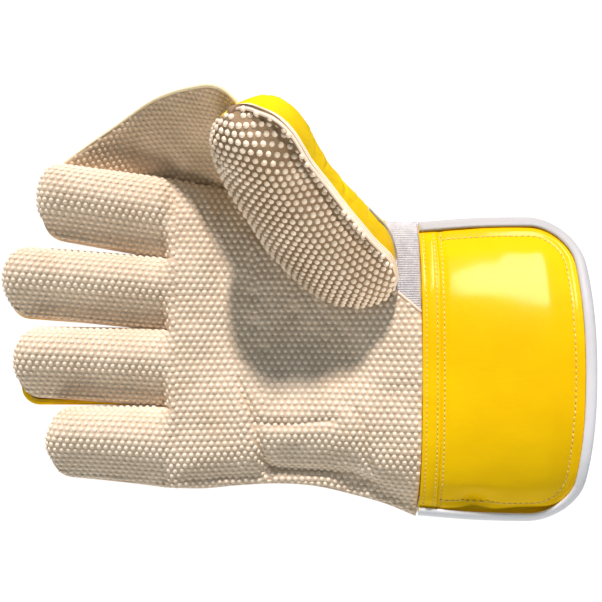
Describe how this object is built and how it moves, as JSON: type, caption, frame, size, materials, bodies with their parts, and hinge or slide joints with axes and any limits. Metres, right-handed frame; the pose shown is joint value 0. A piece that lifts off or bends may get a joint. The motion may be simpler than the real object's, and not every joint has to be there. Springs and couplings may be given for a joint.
{
  "type": "wicketkeeping glove",
  "caption": "Right-hand wicketkeeping glove lying palm up, with a pimpled rubber palm, webbed thumb and flared padded cuff.",
  "frame": {"origin": "middle of the underside of the bounding box, where the back of the glove rests", "axes": "+X runs from the fingers to the open cuff, +Y towards the thumb, +Z out of the palm"},
  "size_m": [0.3096, 0.2274, 0.1088],
  "materials": {
    "rubber_facing": "matt cream rubber with raised pimples",
    "yellow_leather": "glossy coated leather",
    "white_binding": "smooth satin binding",
    "wrist_fabric": "knitted elastic band"
  },
  "bodies": {
    "root": {"palm_facing": "rubber_facing", "thumb_facing": "rubber_facing", "web_facing": "rubber_facing", "hand_back": "yellow_leather", "index_back": "yellow_leather", "middle_back": "yellow_leather", "ring_back": "yellow_leather", "little_back": "yellow_leather", "thumb_back": "yellow_leather", "web_back": "yellow_leather", "web_binding": "yellow_leather", "wrist_band": "wrist_fabric", "cuff_seam_band": "yellow_leather", "cuff_front": "yellow_leather", "cuff_back": "yellow_leather", "cuff_front_binding": "white_binding", "cuff_back_binding": "white_binding"}
  },
  "joints": []
}
